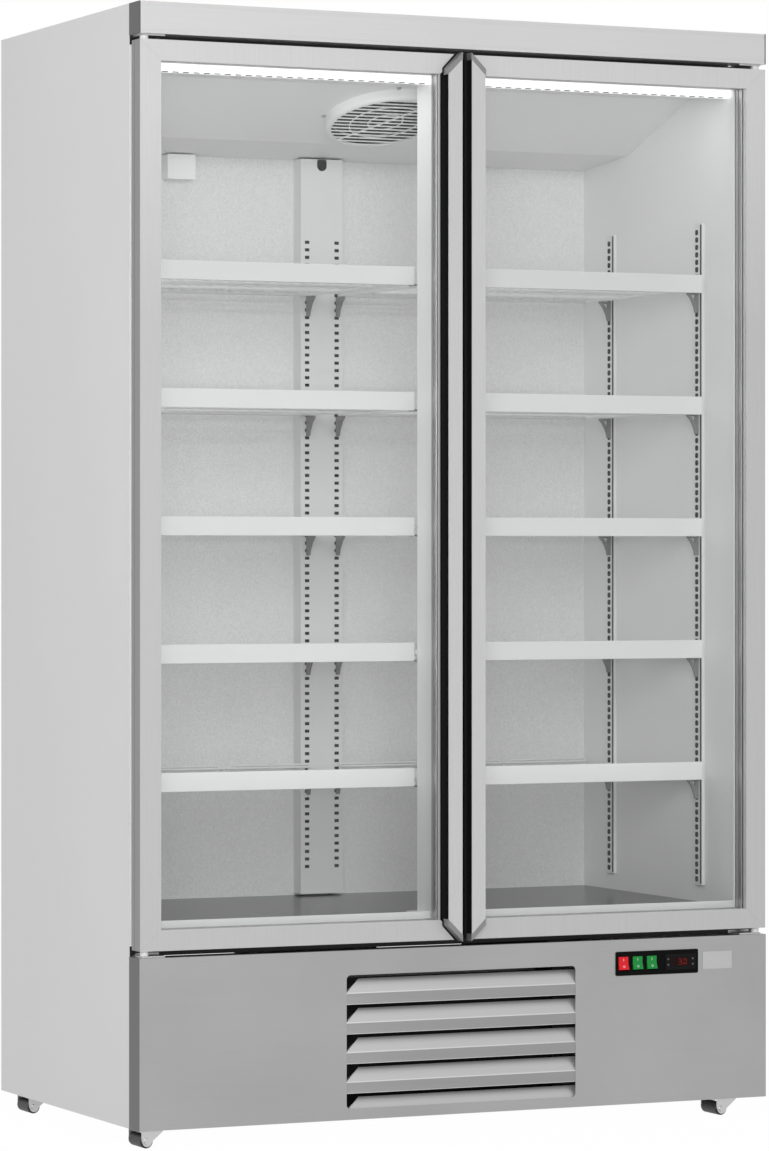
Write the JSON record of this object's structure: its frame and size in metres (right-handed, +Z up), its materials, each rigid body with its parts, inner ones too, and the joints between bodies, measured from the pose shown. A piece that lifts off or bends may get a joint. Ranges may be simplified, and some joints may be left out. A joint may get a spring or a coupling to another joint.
{
  "type": "glass door refrigerator",
  "caption": "Upright display refrigerator with hinged glass doors, wire shelves, a steel canopy, a louvred lower panel and low rollers.",
  "frame": {"origin": "on the floor under the middle of the whole outline", "axes": "+X to the right seen from the front, +Y towards the back, +Z up; the doors face -Y"},
  "size_m": [1.25, 0.713, 2],
  "materials": {
    "white_steel": "satin white powder coat",
    "bright_steel": "brushed",
    "front_steel": "brushed, slightly darker",
    "floor_steel": "smooth stainless floor",
    "zinc_steel": "galvanised sheet",
    "frame_aluminium": "satin anodised",
    "liner_grey": "light grey, embossed back wall",
    "foam": "rigid foam",
    "dark_plastic": "black",
    "end_cap_grey": "dark grey",
    "white_plastic": "white",
    "red_key": "translucent red",
    "green_key": "translucent green",
    "double_glass": "clear",
    "seal_rubber": "matte grey",
    "white_wire": "coated wire",
    "bracket_steel": "dark grey",
    "machine_black": "black enamel",
    "fin_aluminium": "fins",
    "copper": "copper tube",
    "roller_rubber": "black",
    "plate_grey": "bare plate"
  },
  "bodies": {
    "cabinet": {"back_panel": "zinc_steel", "base_tray": "zinc_steel", "canopy": "bright_steel", "canopy_end_caps": "end_cap_grey", "caster_brackets": "bright_steel", "compressor": "machine_black", "condenser_coil": "fin_aluminium", "condenser_shroud": "zinc_steel", "control_bezel": "dark_plastic", "drain_pan": "zinc_steel", "electrical_box": "dark_plastic", "evaporator_coil": "fin_aluminium", "evaporator_cover": "white_steel", "face_frame": "white_steel", "fan_guard": "white_steel", "floor_pan": "floor_steel", "foam_slabs": "foam", "guard_screws": "zinc_steel", "hinge_brackets": "bright_steel", "lamp_bars": "white_plastic", "liner_walls": "liner_grey", "louvre_slats": "front_steel", "lower_panel": "front_steel", "mullion": "white_steel", "rating_plate": "plate_grey", "rear_grille": "zinc_steel", "refrigerant_pipes": "copper", "sensor_box": "white_steel", "shelf_brackets": "bracket_steel", "shelf_level_1": "white_wire", "shelf_level_2": "white_wire", "shelf_level_3": "white_wire", "shelf_level_4": "white_wire", "shelf_level_5": "white_wire", "shelf_uprights": "liner_grey", "side_panel_left": "white_steel", "side_panel_right": "white_steel", "thermostat": "dark_plastic", "top_panel": "white_steel"},
    "left_door": {"left_frame": "frame_aluminium", "left_glazing": "double_glass", "left_gasket": "seal_rubber", "left_handle": "dark_plastic", "left_handle_trim": "frame_aluminium", "left_hinge_bushes": "white_plastic"},
    "right_door": {"right_frame": "frame_aluminium", "right_glazing": "double_glass", "right_gasket": "seal_rubber", "right_handle": "dark_plastic", "right_handle_trim": "frame_aluminium", "right_hinge_bushes": "white_plastic"},
    "power_switch": {"power_rocker": "red_key"},
    "fan_switch": {"fan_rocker": "green_key"},
    "light_switch": {"light_rocker": "green_key"},
    "evaporator_wheel": {"evaporator_fan": "white_plastic"},
    "cooling_wheel": {"cooling_fan": "dark_plastic"},
    "front_left_roller": {"roller_front_left": "roller_rubber"},
    "front_right_roller": {"roller_front_right": "roller_rubber"},
    "rear_left_roller": {"roller_rear_left": "roller_rubber"},
    "rear_right_roller": {"roller_rear_right": "roller_rubber"}
  },
  "joints": [
    {"name": "left_door_hinge", "type": "hinge", "parent": "cabinet", "child": "left_door", "pos_m": [-0.61, -0.3215, 1.139], "axis": [0, 0, -1], "range_deg": [0, 110]},
    {"name": "right_door_hinge", "type": "hinge", "parent": "cabinet", "child": "right_door", "pos_m": [0.61, -0.3215, 1.139], "axis": [0, 0, 1], "range_deg": [0, 110]},
    {"name": "power_rocker_tilt", "type": "hinge", "parent": "cabinet", "child": "power_switch", "pos_m": [0.326, -0.335, 0.288], "axis": [1, 0, 0], "range_deg": [0, 20]},
    {"name": "fan_rocker_tilt", "type": "hinge", "parent": "cabinet", "child": "fan_switch", "pos_m": [0.35525, -0.335, 0.288], "axis": [1, 0, 0], "range_deg": [0, 20]},
    {"name": "light_rocker_tilt", "type": "hinge", "parent": "cabinet", "child": "light_switch", "pos_m": [0.3845, -0.335, 0.288], "axis": [1, 0, 0], "range_deg": [0, 20]},
    {"name": "evaporator_fan_spin", "type": "hinge", "parent": "cabinet", "child": "evaporator_wheel", "pos_m": [0, 0.00257, 1.87223], "axis": [0, 0.3253, 0.9456], "continuous": true},
    {"name": "cooling_fan_spin", "type": "hinge", "parent": "cabinet", "child": "cooling_wheel", "pos_m": [0, -0.2025, 0.16], "axis": [0, 1, 0], "continuous": true},
    {"name": "front_left_roller_spin", "type": "hinge", "parent": "cabinet", "child": "front_left_roller", "pos_m": [-0.608, -0.3, 0.012], "axis": [0, 1, 0], "continuous": true},
    {"name": "front_right_roller_spin", "type": "hinge", "parent": "cabinet", "child": "front_right_roller", "pos_m": [0.535, -0.3, 0.012], "axis": [0, 1, 0], "continuous": true},
    {"name": "rear_left_roller_spin", "type": "hinge", "parent": "cabinet", "child": "rear_left_roller", "pos_m": [-0.608, 0.257, 0.012], "axis": [0, 1, 0], "continuous": true},
    {"name": "rear_right_roller_spin", "type": "hinge", "parent": "cabinet", "child": "rear_right_roller", "pos_m": [0.535, 0.257, 0.012], "axis": [0, 1, 0], "continuous": true}
  ]
}
